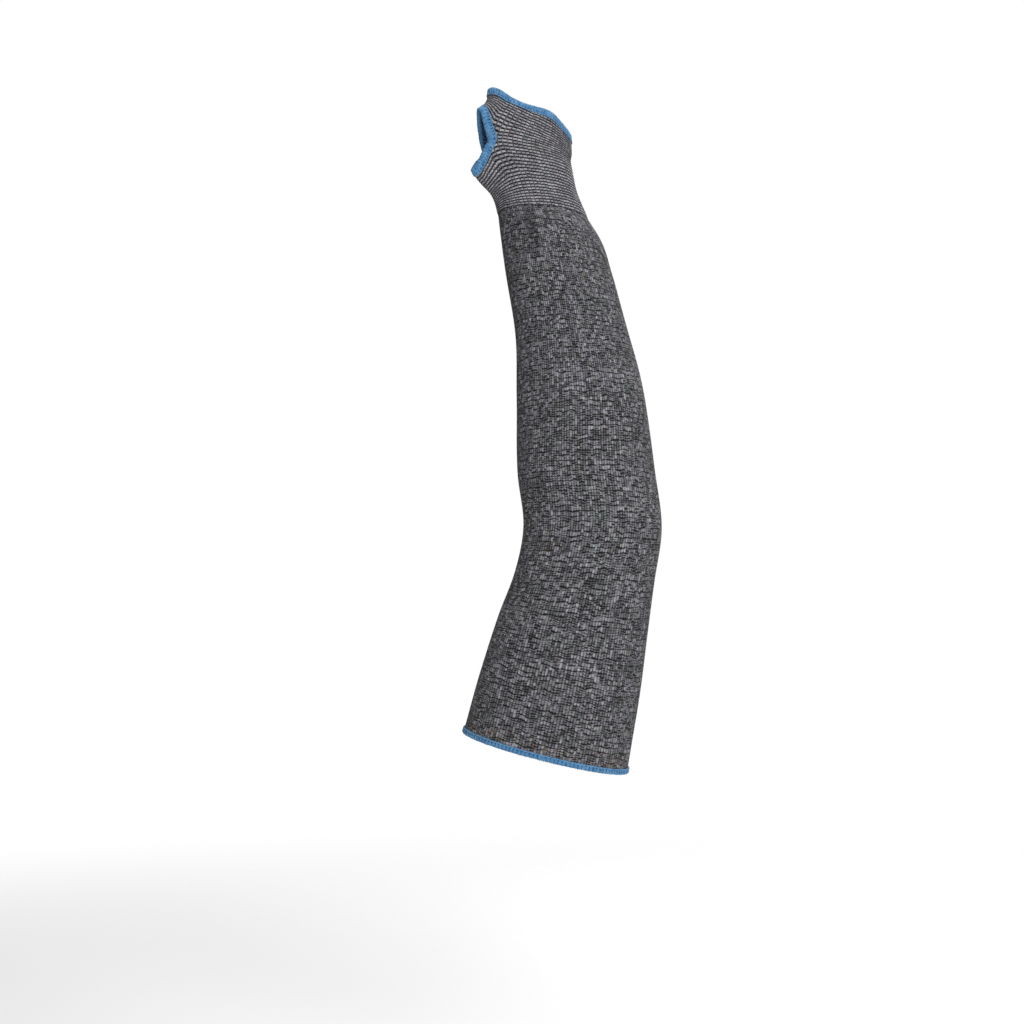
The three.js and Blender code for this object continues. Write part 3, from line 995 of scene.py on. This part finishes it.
def make_wraps(rim, seed):
    """The looper threads: evenly spaced over the edge, and leaning together in pairs at the needle lines."""
    radius = rim.overlock["thread"]
    pairs = round(rim.length / rim.overlock["pitch"])
    pitch = rim.length / pairs / 2
    reach = 2 * (rim.cap + rim.reach)
    threads = add_thread(radius, reach, wrap_cuts)
    copy = repeat(threads, pairs * 2, pitch)
    points = read_points(threads)
    chance = np.random.default_rng(seed).uniform(-1, 1, (3, pairs * 2))[:, copy]
    x = points[:, 0] - copy * pitch
    across = points[:, 1] / reach * 2
    slant = rim.overlock["zigzag"] * pitch * (np.cos(math.pi * across) - 1)
    zigzag = np.where(copy % 2 == 0, 1, -1) * slant
    sink = np.abs(across) ** 12 * radius * 1.5
    s = copy * pitch + x * (wrap_breadth + wrap_jitter * chance[0]) + zigzag + wrap_wander * chance[1]
    h = points[:, 2] * (wrap_height + wrap_jitter * chance[0])
    h = h + radius * wrap_height + wrap_wander * (1 + chance[2]) - sink
    write_points(threads, rim.place(s, points[:, 1], h))
    set_uv(threads, copy * 3.1 + across * 4, np.arctan2(points[:, 2], x) / math.tau)
    if rim.handedness < 0:
        flip_faces(threads)
    return threads


def make_needle_line(rim, side, seed):
    """The needle's stitches along the inner margin of the binding, on one face of the fabric."""
    radius = rim.overlock["thread"]
    count = round(rim.length / rim.overlock["pitch"])
    pitch = rim.length / count
    stitch = pitch * needle_overlap
    threads = add_thread(radius, stitch, needle_cuts)
    copy = repeat(threads, count, pitch)
    points = read_points(threads)
    chance = np.random.default_rng(seed).uniform(-1, 1, (2, count))[:, copy]
    across = points[:, 0] - copy * pitch
    share = points[:, 1] / stitch * 2
    s = copy * pitch + points[:, 1]
    t = side * (rim.cap + rim.reach - radius + 0.00008 * chance[0]) + across
    h = points[:, 2] + radius * (1.1 - 1.3 * share * share) + 0.00004 * chance[1]
    write_points(threads, rim.place(s, t, h))
    set_uv(threads, copy * 2.7 + share * 1.5, np.arctan2(points[:, 2], across) / math.tau)
    if rim.handedness > 0:
        flip_faces(threads)
    return threads


def make_core(rim):
    """The layer of thread under the wraps, closed round the rim."""
    core, across, up = add_grid(core_mesh["columns"], core_mesh["rows"])
    reach = rim.cap + rim.reach - rim.overlock["thread"]
    t = (2 * up - 1) * reach
    write_points(core, rim.place(across * rim.length, t, np.full(len(t), core_height)))
    set_uv(core, across * 200, up * 3)
    set_relief(core, np.zeros(len(t)))
    weld(core, seam_distance)
    thicken(core, core_wall)
    return core


def make_binding(rim):
    seed = rim.overlock["seed"]
    wraps = make_wraps(rim, seed)
    needle_lines = [make_needle_line(rim, 1, seed + 1), make_needle_line(rim, -1, seed + 2)]
    return join([wraps, *needle_lines, make_core(rim)])


# The scene
add_camera()
bpy.context.scene.view_settings.view_transform = "Standard"
set_world(seen=1.0, light=0.25)
add_softbox("key", place=(0.5, -1.7, 0.75), size=0.9, power=30)
add_softbox("top", place=(0.1, 0.1, 1.7), size=1.2, power=14)
add_softbox("back", place=(0.5, 1.4, 0.7), size=1.0, power=13)
add_floor()

marl_knit = marl_knit_material()
cuff_knit = cuff_knit_material()
blue_thread = blue_thread_material()

tube = finish_piece(make_tube(), "sleeve_tube", marl_knit, node="arm_tube")
cuff = finish_piece(make_cuff(), "sleeve_cuff", cuff_knit, node="hand_cuff")
bindings = {
    "arm_hem_binding": make_binding(edge_rim(tube_point, 0, 1, tube_wall, overlocks["hem"])),
    "hand_edge_binding": make_binding(edge_rim(upper_panel, 1, -1, cuff_wall, overlocks["hand_edge"])),
    "thumb_hole_binding": make_binding(thumb_hole_rim(overlocks["thumb_hole"])),
}
for node, binding in bindings.items():
    finish_piece(binding, node.replace("binding", "overlock"), blue_thread, node)
